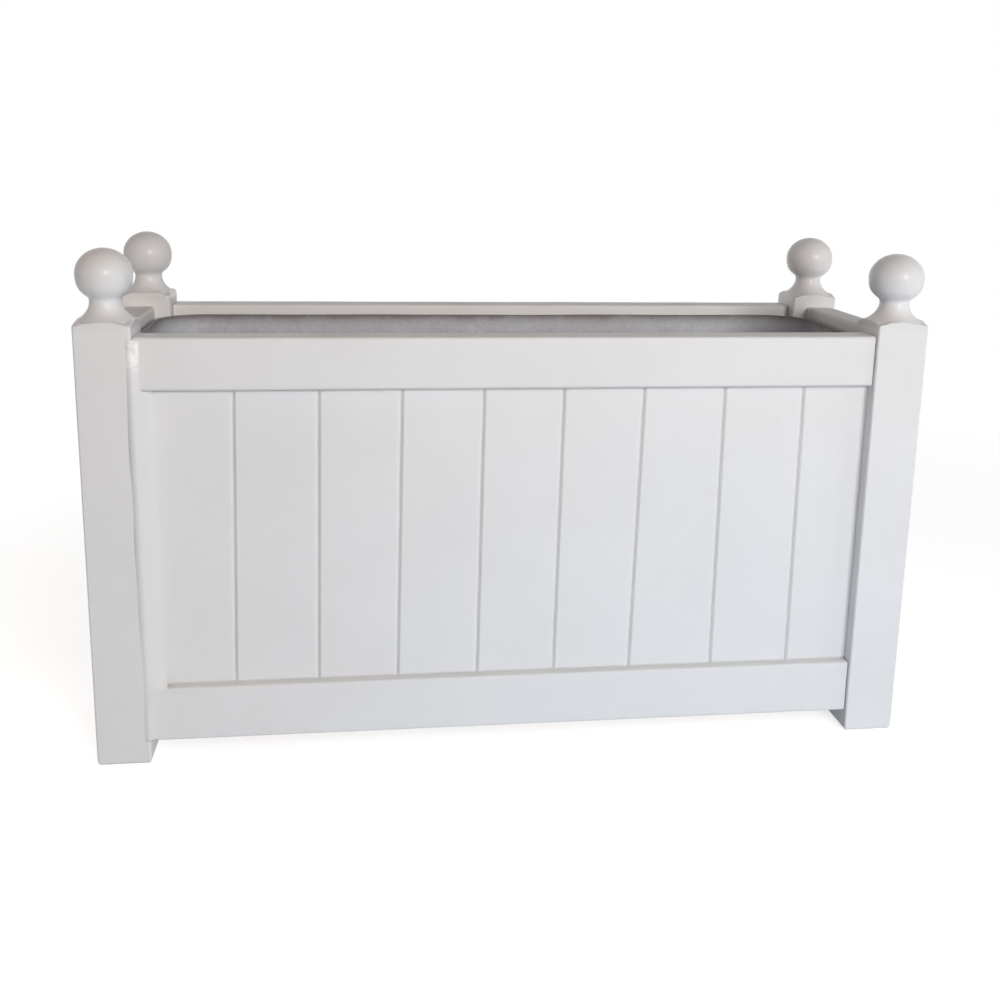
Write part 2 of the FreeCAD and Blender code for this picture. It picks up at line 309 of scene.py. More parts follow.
def shaded_foot(piece):
    """Mark painted shade along a rail's lower edge, darkest at its very foot."""
    layer = piece.data.attributes.new("crease_and_shade", "FLOAT", "POINT")
    foot = min(vertex.co.z for vertex in piece.data.vertices)
    for mark, vertex in zip(layer.data, piece.data.vertices):
        mark.value = foot_shade * max(0.0, 1 - (vertex.co.z - foot) / foot_shade_height)


for wall in walls:
    along, reach = (0, inner_x) if wall in ("front", "back") else (1, inner_y)
    paint = lengthwise_paint if along == 0 else crosswise_paint
    for level in ("top", "bottom"):
        low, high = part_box(f"{level}_rail_{wall}")
        low[along] = rail_gap - reach
        high[along] = reach - rail_gap
        rail = soft_bar(
            f"painted_{level}_rail_{wall}", low, high, along, rail_edge[level], (rail_end, rail_end),
            rail_wave,
        )
        # Only the top rails get painted shade along their lower edge.
        if level == "top":
            shaded_foot(rail)
        painted(rail, paint, [f"{level}_rail_{wall}"])


# Wall boards
# Upright tongue-and-groove boards fill each wall between the rails, nine along the length and two
# on each short side. The front joints lean a little, and paint has rounded the boards' edges.

roll_width = 0.0075
roll_depth = 0.0009
groove_width = 0.0032
groove_depth = 0.0019
end_groove = 0.8
joint_heads = (0.0016, 0.0010, -0.0004, -0.0013, -0.0030, -0.0026, -0.0002, 0.0017)
joint_feet = (-0.0058, -0.0045, -0.0061, -0.0056, -0.0071, -0.0082, 0.0004, 0.0035)
roll_steps = 12
face_steps = 6
height_steps = 14
board_facet = 50


def tree_inputs(tree, kinds):
    """Give a tree its named inputs and an output, and return the inputs' sockets by name."""
    for name, kind in kinds.items():
        tree.interface.new_socket(name, in_out="INPUT", socket_type=f"NodeSocket{kind}")
    tree.interface.new_socket("Geometry", in_out="OUTPUT", socket_type="NodeSocketGeometry")
    return add_node(tree, "NodeGroupInput").outputs


def eased_place(tree, share, steps, start, end, roll):
    """Return where a share of a board's width or height lies, with most steps in the rolls."""
    part = roll_steps / (2 * roll_steps + steps)
    quarter = math.pi / 2
    near = calc(tree, "MULTIPLY", spread(tree, share, 0.0, part), quarter)
    flat = spread(tree, share, part, 1 - part)
    far = calc(tree, "MULTIPLY", spread(tree, share, 1 - part, 1.0), quarter)
    near = calc(tree, "SUBTRACT", 1.0, calc(tree, "COSINE", near))
    far = calc(tree, "SINE", far)
    rolls = calc(tree, "MULTIPLY", roll, 2.0)
    middle = calc(tree, "SUBTRACT", calc(tree, "SUBTRACT", end, start), rolls)
    place = calc(tree, "MULTIPLY_ADD", roll, calc(tree, "ADD", near, far), start)
    return calc(tree, "MULTIPLY_ADD", middle, flat, place)


def edge_share(tree, place, start, end, roll):
    """Return 1 at either edge of a board, falling to 0 where its roll ends."""
    near = calc(tree, "SUBTRACT", place, start)
    far = calc(tree, "SUBTRACT", end, place)
    share = calc(tree, "DIVIDE", calc(tree, "MINIMUM", near, far), roll)
    return calc(tree, "MAXIMUM", calc(tree, "SUBTRACT", 1.0, share), 0.0)


def smoothed(tree, geometry, limit):
    """Shade geometry smooth, except over edges that turn by more than a limit in degrees."""
    angle = add_node(tree, "GeometryNodeInputMeshEdgeAngle").outputs["Unsigned Angle"]
    smooth = calc(tree, "LESS_THAN", angle, math.radians(limit))
    inputs = {"Geometry": geometry, "Shade Smooth": smooth}
    return output_of(tree, "GeometryNodeSetShadeSmooth", inputs, domain="EDGE")


def finish_tree(tree, geometry, material):
    """End a tree: make its instances real, set their material and give them out."""
    real = output_of(tree, "GeometryNodeRealizeInstances", {0: geometry})
    inputs = {"Geometry": real, "Material": material}
    finished = output_of(tree, "GeometryNodeSetMaterial", inputs)
    add_node(tree, "NodeGroupOutput", {0: finished})


def split_position(tree):
    """Return the X, Y and Z of the points that a tree works on."""
    position = output_of(tree, "GeometryNodeInputPosition")
    return add_node(tree, "ShaderNodeSeparateXYZ", {0: position}).outputs


def board_wall_tree():
    """Return the tree that makes one soft-edged board for each point, drawn as the front wall."""
    tree = bpy.data.node_groups.new("board_wall", "GeometryNodeTree")
    given = tree_inputs(tree, {
        "Geometry": "Geometry", "Bottom": "Float", "Top": "Float", "Face": "Float",
        "Thickness": "Float", "Roll Width": "Float", "Roll Depth": "Float", "Groove Width": "Float",
        "Groove Depth": "Float", "End Groove": "Float", "Tilt": "Float", "Turn": "Float",
        "Finish": "Material",
    })
    cube = add_node(tree, "GeometryNodeMeshCube", {
        "Vertices X": 2 * roll_steps + face_steps + 1,
        "Vertices Y": 2,
        "Vertices Z": 2 * roll_steps + height_steps + 1,
    })
    boards = output_of(tree, "GeometryNodeInstanceOnPoints", {
        "Points": given["Geometry"], "Instance": cube.outputs["Mesh"],
    })
    boards = output_of(tree, "GeometryNodeRealizeInstances", {0: boards})
    unit = split_position(tree)
    roll = given["Roll Width"]
    levels = (given["Bottom"], given["Top"])
    z = eased_place(tree, calc(tree, "ADD", unit["Z"], 0.5), height_steps, *levels, roll)
    height = spread(tree, z, *levels)
    edges = []
    for side in ("left", "right"):
        head, foot = (
            output_of(tree, "GeometryNodeInputNamedAttribute", {"Name": f"{side}_{end}"})
            for end in ("head", "foot")
        )
        edges.append(calc(tree, "MULTIPLY_ADD", height, calc(tree, "SUBTRACT", head, foot), foot))
    x = eased_place(tree, calc(tree, "ADD", unit["X"], 0.5), face_steps, *edges, roll)
    rolled = spread(tree, calc(tree, "SUBTRACT", edges[1], x), roll, 0.0)
    rolled = calc(tree, "MULTIPLY", calc(tree, "POWER", rolled, 2.0), given["Roll Depth"])
    beside = edge_share(tree, x, *edges, given["Groove Width"])
    endways = edge_share(tree, z, *levels, given["Groove Width"])
    endways = calc(tree, "MULTIPLY", endways, given["End Groove"])
    grooved = calc(tree, "ADD", calc(tree, "POWER", beside, 2.0), calc(tree, "POWER", endways, 2.0))
    grooved = calc(tree, "MINIMUM", calc(tree, "SQRT", grooved), 1.0)
    slope = calc(tree, "SUBTRACT", 3.0, calc(tree, "MULTIPLY", grooved, 2.0))
    crease_and_shade = calc(tree, "MULTIPLY", calc(tree, "POWER", grooved, 2.0), slope)
    sunk = calc(tree, "MULTIPLY_ADD", crease_and_shade, given["Groove Depth"], rolled)
    behind = calc(tree, "GREATER_THAN", unit["Y"], 0.0)
    back = calc(tree, "MULTIPLY", given["Thickness"], behind)
    front = calc(tree, "MULTIPLY", sunk, calc(tree, "SUBTRACT", 1.0, behind))
    y = calc(tree, "ADD", given["Face"], calc(tree, "ADD", back, front))
    # The crease is stored for the paint, which darkens the grooves with dirt and painted shade.
    boards = output_of(tree, "GeometryNodeStoreNamedAttribute", {
        "Geometry": boards, "Name": "crease_and_shade", "Value": crease_and_shade,
    })
    place = output_of(tree, "ShaderNodeCombineXYZ", {"X": x, "Y": y, "Z": z})
    inputs = {"Geometry": boards, "Position": place}
    boards = output_of(tree, "GeometryNodeSetPosition", inputs)
    boards = smoothed(tree, boards, board_facet)
    angles = {"X": given["Tilt"], "Z": given["Turn"]}
    turn = output_of(tree, "ShaderNodeCombineXYZ", angles)
    inputs = {"Geometry": boards, "Rotation": turn}
    boards = output_of(tree, "GeometryNodeTransform", inputs)
    finish_tree(tree, boards, given["Finish"])
    return tree


def grown(name, points, attributes, tree, values):
    """Run a tree on points that carry attributes, and return the result as a plain mesh object."""
    seed_mesh = bpy.data.meshes.new(f"{name}_points")
    seed_mesh.from_pydata(points, [], [])
    for key, numbers in attributes.items():
        kind = "FLOAT_VECTOR" if isinstance(numbers[0], Vector) else "FLOAT"
        layer = seed_mesh.attributes.new(key, kind, "POINT")
        for item, number in zip(layer.data, numbers):
            if kind == "FLOAT":
                item.value = number
            else:
                item.vector = number
    piece = bpy.data.objects.new(name, seed_mesh)
    bpy.context.scene.collection.objects.link(piece)
    modifier = piece.modifiers.new(tree.name, "NODES")
    modifier.node_group = tree
    inputs = [item for item in tree.interface.items_tree if item.in_out == "INPUT"]
    sockets = {item.name: item.identifier for item in inputs}
    for key, value in values.items():
        modifier[sockets[key]] = value
    graph = bpy.context.evaluated_depsgraph_get()
    mesh = bpy.data.meshes.new_from_object(piece.evaluated_get(graph), depsgraph=graph)
    mesh.name = name
    piece.modifiers.remove(modifier)
    piece.data = mesh
    bpy.data.meshes.remove(seed_mesh)
    return piece


def board_edges(wall, count):
    """Return the edges of a wall's boards, as seen from outside it, at their heads and their feet."""
    turn = Matrix.Rotation(-math.radians(90 * walls.index(wall)), 3, "Z")
    reach = inner_x if wall in ("front", "back") else inner_y
    joints = []
    for number in range(2, count + 1):
        corners_seen = [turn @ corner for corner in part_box(f"{wall}_board_{number}")]
        joints.append(min(corner.x for corner in corners_seen))
    edges = {}
    for end, shifts in (("head", joint_heads), ("foot", joint_feet)):
        moved = [x + shift for x, shift in zip(joints, shifts)] if wall == "front" else joints
        edges[f"left_{end}"] = [-reach - roll_width] + moved
        edges[f"right_{end}"] = moved + [reach + roll_width]
    return edges


board_tree = board_wall_tree()
board_low, board_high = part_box("front_board_1")
board_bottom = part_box("bottom_rail_front")[1].z
board_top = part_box("top_rail_front")[0].z
for wall, count in zip(walls, (9, 2, 9, 2)):
    wall_low, wall_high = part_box(f"{wall}_board_1")
    outside = {"front": -wall_low.y, "back": wall_high.y, "right": wall_high.x, "left": -wall_low.x}
    boards = grown(
        f"{wall}_boards", [(0, 0, 0)] * count, board_edges(wall, count), board_tree,
        {
            "Bottom": board_bottom, "Top": board_top, "Face": -outside[wall],
            "Thickness": board_high.y - board_low.y, "Roll Width": roll_width,
            "Roll Depth": roll_depth, "Groove Width": groove_width, "Groove Depth": groove_depth,
            "End Groove": end_groove, "Tilt": 0.0, "Turn": math.radians(90 * walls.index(wall)),
            "Finish": upright_paint,
        },
    )
    boards.data.materials.clear()
    painted(boards, upright_paint, [f"{wall}_board_{number}" for number in range(1, count + 1)])


# Corner filler
# A bed of filler closes the corner between the front left post and the front wall. It is drawn
# along by hand from the post's face to the boards. Near the top rail it is whitened in specks:
# a painted highlight.

filler_feather = 0.0080
filler_lead = 0.0022
filler_on_rail = 0.0080
filler_on_boards = 0.0210
filler_fillet = 0.018
filler_taper = 0.030
filler_start = 0.002
filler_pitch = 0.003
filler_steps = 16
filler_wave = 0.14
filler_wave_scale = 30
filler_proud = 0.0002
filler_thickness = 0.0010
# Where the painted highlight on the filler fades in, below the top rail's top.
highlight_span = (0.046, 0.024)
filler_sheen = 0.40
filler_unevenness = 0.5
filler_aged = 0.11


def eased(value, start, end):
    """Return 0 before start and 1 after end, with a smooth change between them."""
    share = min(1.0, max(0.0, (value - start) / (end - start)))
    return share * share * (3 - 2 * share)


def corner_filler(name, corner_x, post_face, rail_face, board_face, levels):
    """Return the filler beside a post, from the bottom rail's foot to the top rail's top."""
    foot, board_low, board_high, top = levels
    bed = bmesh.new()
    painted_highlight = bed.verts.layers.float.new("painted_highlight")
    rings = []
    count = round((top - foot - 2 * filler_start) / filler_pitch)
    for i in range(count + 1):
        z = foot + filler_start + (top - foot - 2 * filler_start) * i / count
        deep = eased(z, board_low - filler_start, board_low + filler_fillet)
        deep *= 1 - eased(z, board_high - filler_start, board_high + filler_start)
        wide = eased(z, board_low - filler_taper, board_low)
        wide *= 1 - eased(z, board_high - filler_start, board_high + filler_start)
        swell = 1 + filler_wave * noise.noise(Vector((0, 0, z * filler_wave_scale)))
        width = swell * (filler_on_rail + wide * (filler_on_boards - filler_on_rail))
        start = Vector((corner_x - filler_lead, post_face - filler_proud))
        end = Vector((corner_x + width, rail_face + deep * (board_face - rail_face) + filler_proud))
        points = [(start.x - filler_feather, start.y + 2 * filler_proud)]
        for step in range(filler_steps + 1):
            share = step / filler_steps
            drawn = share * share * (3 - 2 * share)
            points.append((start.x + (end.x - start.x) * share, start.y + (end.y - start.y) * drawn))
        points.append((end.x, end.y + filler_thickness))
        points.append((corner_x - filler_thickness, end.y + filler_thickness))
        points.append((start.x - filler_feather, start.y + 2 * filler_proud + filler_thickness))
        ring = [bed.verts.new((x, y, z)) for x, y in points]
        # Mark the painted highlight, fading in towards the top rail.
        for vertex in ring:
            vertex[painted_highlight] = eased(z, top - highlight_span[0], top - highlight_span[1])
        rings.append(ring)
    for number, face in enumerate(bridge_rings(bed, rings)):
        face.smooth = number % len(rings[0]) <= filler_steps
    bed.faces.new(rings[0])
    bed.faces.new(rings[-1])
    bmesh.ops.recalc_face_normals(bed, faces=bed.faces[:])
    return made_piece(name, bed)


rail_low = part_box("bottom_rail_front")[0]
filler_paint = satin_white(
    "satin_white_filler", (1.0, 1.0, 0.3), filler_sheen, filler_unevenness, aged=filler_aged
)
filler = corner_filler(
    "corner_filler", -inner_x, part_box("post_front_left")[0].y, rail_low.y, board_low.y,
    (rail_low.z, board_bottom, board_top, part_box("top_rail_front")[1].z),
)
painted(filler, filler_paint, [])


# Ball finials
# Four turned balls on a flared foot. Each is bonded on a stud, its round foot is trimmed flush
# with the post's faces, and filler is smeared over the joint before painting.

foot_overhang = 0.0022
foot_edge = 0.0010
neck_radius = 0.0175
neck_rise = 0.0260
ball_radii = {"front_left": 0.0315, "front_right": 0.0327, "back_right": 0.0324, "back_left": 0.0315}
ball_rise = 0.0552
shoulder_fullness = 0.17
cove_fullness = 0.67
throat_fullness = 0.24
cheek_fullness = 0.80
smear_rise = 0.0040
smear_ledge = 0.0024
smear_corner = (math.radians(27), math.radians(44))
smear_proud = 0.00005
smear_scale = 2.2
smear_shift = (31, 17)
smear_mean = 0.85
smear_spread = 0.7
corner_drop = 0.9
skirt = 0.0040
turn_steps = 160
curve_steps = (40, 18, 18)
facet_turn = math.radians(42)


def finial_outline(post_half, ball_radius, crown_rise):
    """Return the radius and height of a finial's outline, from its foot to its crown."""
    foot = Vector((post_half + foot_overhang, 0))
    foot_top = foot + Vector((0, foot_edge))
    neck = Vector((neck_radius, neck_rise))
    ball = Vector((ball_radius, ball_rise))
    top = Vector((0, ball_rise + crown_rise))
    round_share = 4 * (math.sqrt(2) - 1) / 3
    flare = Vector((0, neck_rise - foot_edge))
    bulge = Vector((0, ball_rise - neck_rise))
    spans = (
        (foot_top, flare * shoulder_fullness, neck, flare * -cove_fullness),
        (neck, bulge * throat_fullness, ball, bulge * -cheek_fullness),
        (ball, Vector((0, round_share * crown_rise)), top, Vector((round_share * ball_radius, 0))),
    )
    points = [foot - Vector((0, skirt)), foot - Vector((0, skirt - hold)), foot]
    for (start, leave, end, arrive), steps in zip(spans, curve_steps):
        for step in range(steps):
            t = step / steps
            a, b, c, d = (1 - t) ** 3, 3 * t * (1 - t) ** 2, 3 * t * t * (1 - t), t ** 3
            points.append(a * start + b * (start + leave) + c * (end + arrive) + d * end)
    return points, top


def smear_height(axis, angle):
    """Return how high the filler stands round a foot: uneven, and lowest at the post's corners."""
    off = abs(angle - math.pi / 2 * round(angle / (math.pi / 2)))
    spot = Vector((
        smear_scale * math.cos(angle) + smear_shift[0] * axis.x,
        smear_scale * math.sin(angle) + smear_shift[1] * axis.y,
        0.3,
    ))
    uneven = smear_mean + smear_spread * noise.noise(spot)
    return smear_rise * (1 - corner_drop * eased(off, *smear_corner)) * uneven


def square_reach(angle, half, radius):
    """Return how far a square with round corners reaches from its middle at an angle."""
    larger, smaller = sorted((abs(math.cos(angle)), abs(math.sin(angle))), reverse=True)
    inner = half - radius
    if half * smaller / larger <= inner:
        return half / larger
    along = inner * (larger + smaller)
    return along + math.sqrt(along * along - 2 * inner * inner + radius * radius)


def turned_finial(name, axis, base, post_half, ball_radius, crown_rise):
    """Return a turned finial whose foot is trimmed and filled flush with the faces of its post."""
    outline, top = finial_outline(post_half, ball_radius, crown_rise)
    turning = bmesh.new()
    rings = []
    for radius, rise in outline:
        ring = []
        for step in range(turn_steps):
            angle = 2 * math.pi * step / turn_steps
            square = square_reach(angle, post_half + smear_proud, post_edge)
            height = smear_height(axis, angle)
            filled = 1 - eased(rise, height, height + smear_ledge)
            reach = min(radius, square) if rise < neck_rise else radius
            reach += filled * (square - reach)
            spot = (axis.x + reach * math.cos(angle), axis.y + reach * math.sin(angle), base + rise)
            ring.append(turning.verts.new(spot))
        rings.append(ring)
    pole = turning.verts.new((axis.x, axis.y, base + top.y))
    bridge_rings(turning, rings)
    for i in range(turn_steps):
        turning.faces.new((rings[-1][i], rings[-1][(i + 1) % turn_steps], pole))
    turning.faces.new(list(reversed(rings[0])))
    turning.normal_update()
    for face in turning.faces:
        face.smooth = len(face.verts) < 5
    for edge in turning.edges:
        edge.smooth = edge.calc_face_angle() < facet_turn
    return made_piece(name, turning)


turned_sheen = 0.19
turned_unevenness = 0.10
turned_mirror = 0.30
turned_paint = satin_white(
    "satin_white_turned", (0.6, 0.6, 1.0), turned_sheen, turned_unevenness, turned_mirror
)
for corner in corners:
    low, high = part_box(f"post_{corner}")
    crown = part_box(f"finial_{corner}")[1].z - high.z - ball_rise
    finial = turned_finial(
        f"turned_finial_{corner}", (low + high) / 2, high.z, (high.x - low.x) / 2,
        ball_radii[corner], crown,
    )
    painted(finial, turned_paint, [f"finial_{corner}"])


# Floor
# Two bearers are screwed along the inside of the long bottom rails, and six loose-spaced slats lie
# across them. They are bare sawn board, out of sight below the liner.

slat_count = 6
slat_roll = 0.0016
sawn_edge = 0.0012
sawn_wave = 0.0003
board_pale = (0.430, 0.285, 0.165, 1)
board_dark = (0.265, 0.155, 0.080, 1)
ring_scale = 60.0
pore_scale = 700.0
sawn_patch_scale = 9.0
sawn_relief = 0.0006


def sawn_board(name, grain):
    """Return bare sawn board whose grain runs along the axis with the smallest share."""
    material, tree, shader, place = new_finish(name)
    run = output_of(tree, "ShaderNodeMapping", {"Vector": place, "Scale": grain})
    rings = cloudy(tree, run, ring_scale, 5.0, 0.65)
    pores = cloudy(tree, run, pore_scale, 2.0)
    patches = cloudy(tree, place, sawn_patch_scale, 3.0)
    share = spread(tree, calc(tree, "ADD", rings, calc(tree, "MULTIPLY", pores, 0.25)), 0.45, 0.85)
    colour = blend_colours(tree, share, board_pale, board_dark)
    colour = blend_colours(tree, calc(tree, "MULTIPLY", patches, 0.4), colour, board_pale)
    gloss = calc(tree, "MULTIPLY_ADD", pores, 0.2, 0.62)
    dress_shader(tree, shader, colour, gloss, calc(tree, "ADD", rings, pores), 0.5, sawn_relief)
    return material


def bare(piece, material, nodes):
    """Give a piece of bare board its finish, fix it to the frame and let it stand for its solids."""
    piece.data.materials.clear()
    piece.data.materials.append(material)
    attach(piece, "frame")
    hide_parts(*nodes)


bearer_board = sawn_board("sawn_board_lengthwise", (0.05, 1.0, 1.0))
for side in ("front", "back"):
    low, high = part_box(f"floor_bearer_{side}")
    bearer = soft_bar(
        f"sawn_bearer_{side}", low, high, 0, sawn_edge, (sawn_edge, sawn_edge), sawn_wave
    )
    bare(bearer, bearer_board, [f"floor_bearer_{side}"])

slat_board = sawn_board("sawn_board_crosswise", (1.0, 0.05, 1.0))
slat_boxes = [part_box(f"floor_slat_{number}") for number in range(1, slat_count + 1)]
slat_low, slat_high = slat_boxes[0]
slat_lefts = [low.x for low, high in slat_boxes]
slat_rights = [high.x for low, high in slat_boxes]
slats = grown(
    "sawn_slats", [(0, 0, 0)] * slat_count,
    {
        "left_head": slat_lefts, "left_foot": slat_lefts,
        "right_head": slat_rights, "right_foot": slat_rights,
    },
    board_tree,
    {
        "Bottom": slat_low.y, "Top": slat_high.y, "Face": -slat_high.z,
        "Thickness": slat_high.z - slat_low.z, "Roll Width": slat_roll, "Roll Depth": 0.0,
        "Groove Width": slat_roll, "Groove Depth": slat_roll, "End Groove": 1.0,
        "Tilt": math.radians(-90), "Turn": 0.0, "Finish": slat_board,
    },
)
bare(slats, slat_board, [f"floor_slat_{number}" for number in range(1, slat_count + 1)])


# Screws and studs
# Countersunk screws hold the tenons, bearers and slats, and a plain stud holds each finial. They
# are zinc-plated steel, and only the heads show when the liner is out.

steel_colour = (0.560, 0.560, 0.545, 1)
steel_dull = (0.400, 0.390, 0.370, 1)
steel_scale = 300.0
plated_steel, steel_tree, steel_shader, steel_place = new_finish("plated_steel")
steel_cloud = cloudy(steel_tree, steel_place, steel_scale, 3.0)
steel_share = spread(steel_tree, steel_cloud, 0.4, 0.65)
steel_mix = blend_colours(steel_tree, steel_share, steel_colour, steel_dull)
steel_tree.links.new(steel_mix, steel_shader.inputs["Base Color"])
steel_tree.links.new(
    calc(steel_tree, "MULTIPLY_ADD", steel_cloud, 0.25, 0.22), steel_shader.inputs["Roughness"]
)
steel_shader.inputs["Metallic"].default_value = 1.0
screw_length = {"rail": 0.043, "bearer": 0.043, "slat": 0.038}
screw_shank = 0.005
screw_head = 0.010
screw_point = 0.005
screw_sides = 20
screw_facet = 30
head_flat = 0.94
head_rim = 0.05
weld_reach = 1e-6
recess_length = 0.0052
recess_width = 0.0011
recess_depth = 0.0018
screw_seed = 5
screw_stagger = 0.008
tenon_middle = 0.0125


def by_row(tree, row, values):
    """Return the value that belongs to a row number."""
    result = 0.0
    for number, value in enumerate(values):
        chosen = calc(tree, "COMPARE", row, float(number), 0.5)
        result = calc(tree, "MULTIPLY_ADD", chosen, value, result)
    return result


def screw_tree():
    """Return the tree that sets a countersunk screw with a cross recess at each point."""
    tree = bpy.data.node_groups.new("countersunk_screws", "GeometryNodeTree")
    given = tree_inputs(tree, {
        "Geometry": "Geometry", "Length": "Float", "Shank": "Float", "Head": "Float",
        "Point": "Float", "Recess Length": "Float", "Recess Width": "Float",
        "Recess Depth": "Float", "Seed": "Int", "Finish": "Material",
    })
    shank = calc(tree, "DIVIDE", given["Shank"], 2.0)
    head = calc(tree, "DIVIDE", given["Head"], 2.0)
    neck = calc(tree, "SUBTRACT", shank, head)
    tip = calc(tree, "MULTIPLY", given["Length"], -1.0)
    rim = calc(tree, "MULTIPLY", head, -head_rim)
    point = calc(tree, "ADD", tip, given["Point"])
    radii = (0.0, calc(tree, "MULTIPLY", head, head_flat), head, shank, shank, 0.0)
    levels = (0.0, 0.0, rim, neck, point, tip)
    grid = add_node(tree, "GeometryNodeMeshGrid", {
        "Size X": 1.0, "Size Y": 1.0, "Vertices X": screw_sides + 1, "Vertices Y": len(radii),
    })
    flat = split_position(tree)
    row = calc(tree, "MULTIPLY", calc(tree, "SUBTRACT", 0.5, flat["Y"]), float(len(radii) - 1))
    around = calc(tree, "MULTIPLY", flat["X"], -2 * math.pi)
    radius = by_row(tree, row, radii)
    place = output_of(tree, "ShaderNodeCombineXYZ", {
        "X": calc(tree, "MULTIPLY", radius, calc(tree, "COSINE", around)),
        "Y": calc(tree, "MULTIPLY", radius, calc(tree, "SINE", around)),
        "Z": by_row(tree, row, levels),
    })
    inputs = {"Geometry": grid.outputs["Mesh"], "Position": place}
    turned = output_of(tree, "GeometryNodeSetPosition", inputs)
    inputs = {"Geometry": turned, "Distance": weld_reach}
    screw = output_of(tree, "GeometryNodeMergeByDistance", inputs)
    twice = calc(tree, "MULTIPLY", given["Recess Depth"], 2.0)
    arm = (given["Recess Length"], given["Recess Width"])
    for x, y in (arm, reversed(arm)):
        size = output_of(tree, "ShaderNodeCombineXYZ", {"X": x, "Y": y, "Z": twice})
        cutter = add_node(tree, "GeometryNodeMeshCube", {"Size": size}).outputs["Mesh"]
        meshes = {"Mesh 1": screw, "Mesh 2": cutter}
        cut = add_node(tree, "GeometryNodeMeshBoolean", meshes, operation="DIFFERENCE")
        screw = cut.outputs["Mesh"]
    screw = smoothed(tree, screw, screw_facet)
    drive = add_node(
        tree, "GeometryNodeInputNamedAttribute", {"Name": "drive"}, data_type="FLOAT_VECTOR"
    ).outputs["Attribute"]
    outward = output_of(tree, "ShaderNodeVectorMath", {0: drive, "Scale": -1.0}, operation="SCALE")
    aligned = output_of(tree, "FunctionNodeAlignRotationToVector", {"Vector": outward}, axis="Z")
    spin = add_node(
        tree, "FunctionNodeRandomValue", {"Seed": given["Seed"]}, data_type="FLOAT"
    ).outputs[1]
    spin = output_of(tree, "FunctionNodeAxisAngleToRotation", {
        "Axis": (0, 0, 1), "Angle": calc(tree, "MULTIPLY", spin, math.pi / 2),
    })
    turn = output_of(tree, "FunctionNodeRotateRotation", {
        "Rotation": aligned, "Rotate By": spin,
    }, rotation_space="LOCAL")
    screws = output_of(tree, "GeometryNodeInstanceOnPoints", {
        "Points": given["Geometry"], "Instance": screw, "Rotation": turn,
    })
    finish_tree(tree, screws, given["Finish"])
    return tree


def rail_screw_places():
    """Return where the screws through the tenons start, on the posts' inner faces, and their drive."""
    places = []
    post_low, post_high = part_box("post_front_left")
    side = post_high.x - post_low.x
    for wall in walls:
        turn = Matrix.Rotation(math.radians(90 * walls.index(wall)), 3, "Z")
        lengthwise = wall in ("front", "back")
        across, reach = (post_low.y, inner_x) if lengthwise else (post_low.x, inner_y)
        for level in ("top", "bottom"):
            low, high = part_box(f"{level}_rail_{wall}")
            middle = (low.z + high.z) / 2
            for end in (-1, 1):
                x = end * (reach + tenon_middle)
                start = Vector((x, across + side, middle - end * screw_stagger))
                places.append((turn @ start, turn @ Vector((0, -1, 0))))
    return places


def bearer_screw_places():
    """Return where the screws through the bearers start, midway between slats, and their drive."""
    places = []
    for side, sign in (("front", -1), ("back", 1)):
        low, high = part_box(f"floor_bearer_{side}")
        face = high.y if side == "front" else low.y
        for x in slat_gaps:
            places.append((Vector((x, face, (low.z + high.z) / 2)), Vector((0, sign, 0))))
    return places


def slat_screw_places():
    """Return where the screws of the slats start, above the bearers' middles, and their drive."""
    places = []
    for low, high in slat_boxes:
        for side in ("front", "back"):
            bearer_low, bearer_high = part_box(f"floor_bearer_{side}")
            start = Vector(((low.x + high.x) / 2, (bearer_low.y + bearer_high.y) / 2, high.z))
            places.append((start, Vector((0, 0, -1))))
    return places


countersunk = screw_tree()
slat_gaps = [(left[1].x + right[0].x) / 2 for left, right in zip(slat_boxes, slat_boxes[1:])]
screw_places = {
    "rail": rail_screw_places(), "bearer": bearer_screw_places(), "slat": slat_screw_places(),
}
for kind, places in screw_places.items():
    screws = grown(
        f"plated_{kind}_screws", [start for start, drive in places],
        {"drive": [drive for start, drive in places]}, countersunk,
        {
            "Length": screw_length[kind], "Shank": screw_shank, "Head": screw_head,
            "Point": screw_point, "Recess Length": recess_length, "Recess Width": recess_width,
            "Recess Depth": recess_depth, "Seed": screw_seed, "Finish": plated_steel,
        },
    )
    screws.data.materials.clear()
    screws.data.materials.append(plated_steel)
    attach(screws, "frame")
    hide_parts(f"{kind}_screws")

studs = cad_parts["finial_studs"]
studs.data.materials.clear()
studs.data.materials.append(plated_steel)


# Liner
# A loose trough of grey glass-fibre laminate stands on the floor slats. Its walls lean in a little
# to the floor, its corners are rounded to pass the posts, and holes in its floor drain it.

liner_wall = 0.005
liner_floor = 0.006
liner_lean = 0.010
liner_post_clearance = 0.003
liner_bottom_radius = 0.018
liner_rim_radius = 0.0018
liner_wave = 0.0007
wall_wave_scale = 11
rim_wave_scale = 9
drain_radius = 0.007
drain_sides = 24
side_points = (30, 6)
round_points = 12
wall_pitch = 0.03
liner_low, liner_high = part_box("liner")
diagonal = math.sqrt(2)
liner_corner = (liner_post_clearance + diagonal * (liner_high.x - inner_x)) / (diagonal - 1)


def trough_ring(half_x, half_y, radius):
    """Return a rectangle with round corners, anticlockwise, with points along its sides."""
    points = []
    for turn in range(4):
        length, side = (half_x, half_y) if turn % 2 == 0 else (half_y, half_x)
        count = side_points[turn % 2]
        run = length - radius
        heading = Matrix.Rotation(math.radians(90 * turn), 2)
        points += [heading @ Vector((run * (2 * i / count - 1), -side)) for i in range(count)]
        for step in range(round_points):
            angle = math.radians(90 * step / round_points)
            turned = Vector((math.sin(angle), -math.cos(angle)))
            points.append(heading @ (Vector((run, radius - side)) + radius * turned))
    return points


